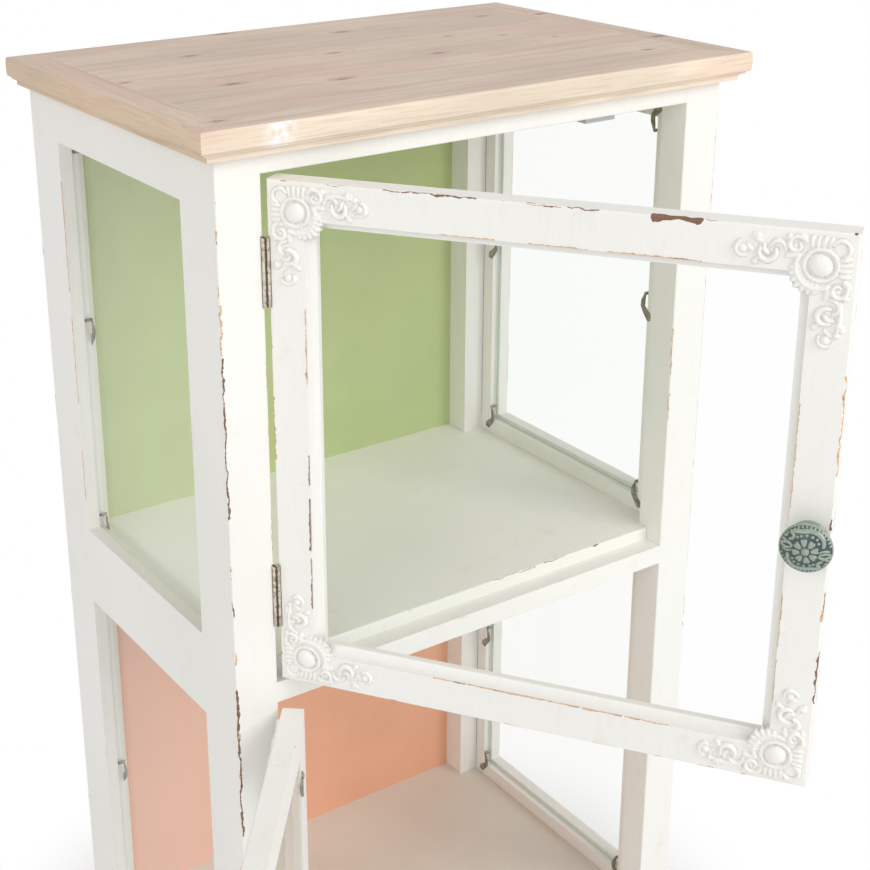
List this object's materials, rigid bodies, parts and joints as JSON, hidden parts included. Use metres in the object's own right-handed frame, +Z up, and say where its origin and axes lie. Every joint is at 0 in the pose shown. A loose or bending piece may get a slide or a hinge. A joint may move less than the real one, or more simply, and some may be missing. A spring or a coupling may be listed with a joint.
{
  "type": "display cabinet",
  "caption": "Tall display cabinet with stacked glazed doors, glazed sides, coloured back panels, a moulded wooden top and carved door corners.",
  "frame": {"origin": "centre of the carcass footprint, on the floor", "axes": "+Z up; the doors face -Y; +X to the right seen from the front"},
  "size_m": [0.7034, 0.6493, 0.9295],
  "materials": {
    "white_paint": "chalky white paint, worn through to brown on the arrises",
    "carved_white": "white painted carving with grey in the hollows",
    "bare_pine": "pale knotty pine, waxed",
    "green_panel": "sage green paint",
    "salmon_panel": "salmon paint",
    "clear_glass": "clear float glass",
    "green_ceramic": "crackled green glaze, dark in the hollows",
    "nickel": "aged nickel",
    "dark_steel": "darkened steel",
    "grey_plastic": "dark grey moulded plastic"
  },
  "bodies": {
    "carcass": {"back_bottom_rail": "white_paint", "back_mid_rail": "white_paint", "back_top_rail": "white_paint", "carcass_screws": "dark_steel", "floor_board": "white_paint", "front_bottom_rail": "white_paint", "front_mid_rail": "white_paint", "front_top_rail": "white_paint", "hinge_post_leaves": "nickel", "left_back_post": "white_paint", "left_back_stile": "white_paint", "left_bottom_rail": "white_paint", "left_front_post": "white_paint", "left_front_stile": "white_paint", "left_lower_pane": "clear_glass", "left_mid_rail": "white_paint", "left_top_rail": "white_paint", "left_upper_pane": "clear_glass", "lower_back_panel": "salmon_panel", "magnetic_catches": "grey_plastic", "right_back_post": "white_paint", "right_back_stile": "white_paint", "right_bottom_rail": "white_paint", "right_front_post": "white_paint", "right_front_stile": "white_paint", "right_lower_pane": "clear_glass", "right_mid_rail": "white_paint", "right_top_rail": "white_paint", "right_upper_pane": "clear_glass", "shelf_board": "white_paint", "side_clips": "dark_steel", "small_screws": "dark_steel", "top_border": "bare_pine", "top_moulding": "bare_pine", "top_panel": "bare_pine", "upper_back_panel": "green_panel"},
    "lower_door": {"lower_door_hinge_stile": "white_paint", "lower_door_lock_stile": "white_paint", "lower_door_top_rail": "white_paint", "lower_door_bottom_rail": "white_paint", "lower_door_pane": "clear_glass", "lower_door_ornaments": "carved_white", "lower_door_knob": "green_ceramic", "lower_door_knob_bolt": "dark_steel", "lower_door_clips": "dark_steel", "lower_door_strike": "nickel", "lower_door_screws": "dark_steel", "lower_door_hinge_leaves": "nickel"},
    "upper_door": {"upper_door_hinge_stile": "white_paint", "upper_door_lock_stile": "white_paint", "upper_door_top_rail": "white_paint", "upper_door_bottom_rail": "white_paint", "upper_door_pane": "clear_glass", "upper_door_ornaments": "carved_white", "upper_door_knob": "green_ceramic", "upper_door_knob_bolt": "dark_steel", "upper_door_clips": "dark_steel", "upper_door_strike": "nickel", "upper_door_screws": "dark_steel", "upper_door_hinge_leaves": "nickel"}
  },
  "joints": [
    {"name": "lower_door_hinge", "type": "hinge", "parent": "carcass", "child": "lower_door", "pos_m": [-0.1957, -0.1597, 0.27965], "axis": [0, 0, -1], "range_deg": [-128.9, 31.1]},
    {"name": "upper_door_hinge", "type": "hinge", "parent": "carcass", "child": "upper_door", "pos_m": [-0.1957, -0.1597, 0.69515], "axis": [0, 0, -1], "range_deg": [-55, 105]}
  ]
}
